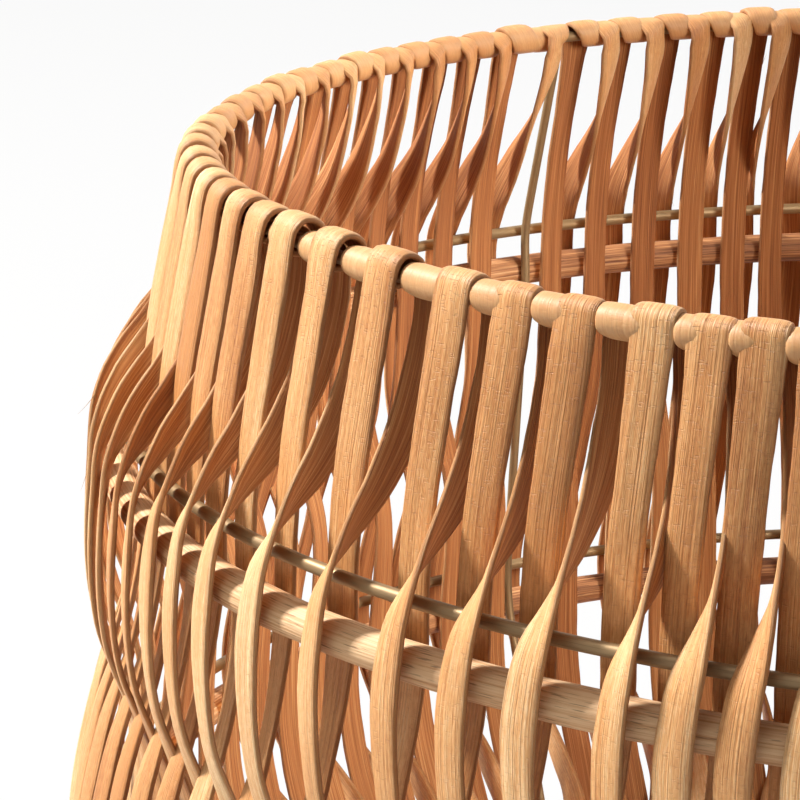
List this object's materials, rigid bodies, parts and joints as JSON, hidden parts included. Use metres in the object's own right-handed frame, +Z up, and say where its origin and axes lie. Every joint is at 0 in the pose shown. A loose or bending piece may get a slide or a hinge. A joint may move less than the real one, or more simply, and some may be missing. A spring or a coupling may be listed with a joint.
{
  "type": "rattan basket",
  "caption": "Round open-topped basket of flat rattan strands laced over wire rings and round rattan hoops, with a slatted floor and a rattan foot ring.",
  "frame": {"origin": "on the floor below the centre of the basket", "axes": "+Z up along the basket's axis, -Y towards the viewer of the picture"},
  "size_m": [0.5766, 0.5768, 0.3142],
  "materials": {
    "rattan_strand": "natural split rattan, smooth bark outside and fibrous pith inside",
    "rattan_rod": "peeled round rattan core with fine lengthwise fibres",
    "rattan_slat": "flat rattan peel, matt",
    "frame_wire": "lacquered wire, dull olive brass"
  },
  "bodies": {
    "root": {"strand_01": "rattan_strand", "strand_02": "rattan_strand", "strand_03": "rattan_strand", "strand_04": "rattan_strand", "strand_05": "rattan_strand", "strand_06": "rattan_strand", "strand_07": "rattan_strand", "strand_08": "rattan_strand", "strand_09": "rattan_strand", "strand_10": "rattan_strand", "strand_11": "rattan_strand", "strand_12": "rattan_strand", "strand_13": "rattan_strand", "strand_14": "rattan_strand", "strand_15": "rattan_strand", "strand_16": "rattan_strand", "strand_17": "rattan_strand", "strand_18": "rattan_strand", "upper_hoop": "rattan_rod", "lower_hoop": "rattan_rod", "foot_hoop": "rattan_rod", "rim_wire": "frame_wire", "upper_wire": "frame_wire", "lower_wire": "frame_wire", "base_wire": "frame_wire", "strut_1": "frame_wire", "strut_2": "frame_wire", "base_cross_wire_1": "frame_wire", "base_cross_wire_2": "frame_wire", "floor_lower_slat_01": "rattan_slat", "floor_lower_slat_02": "rattan_slat", "floor_lower_slat_03": "rattan_slat", "floor_lower_slat_04": "rattan_slat", "floor_lower_slat_05": "rattan_slat", "floor_lower_slat_06": "rattan_slat", "floor_lower_slat_07": "rattan_slat", "floor_lower_slat_08": "rattan_slat", "floor_lower_slat_09": "rattan_slat", "floor_lower_slat_10": "rattan_slat", "floor_upper_slat_01": "rattan_slat", "floor_upper_slat_02": "rattan_slat", "floor_upper_slat_03": "rattan_slat", "floor_upper_slat_04": "rattan_slat", "floor_upper_slat_05": "rattan_slat", "floor_upper_slat_06": "rattan_slat", "floor_upper_slat_07": "rattan_slat", "floor_upper_slat_08": "rattan_slat", "floor_upper_slat_09": "rattan_slat", "floor_upper_slat_10": "rattan_slat"}
  },
  "joints": []
}
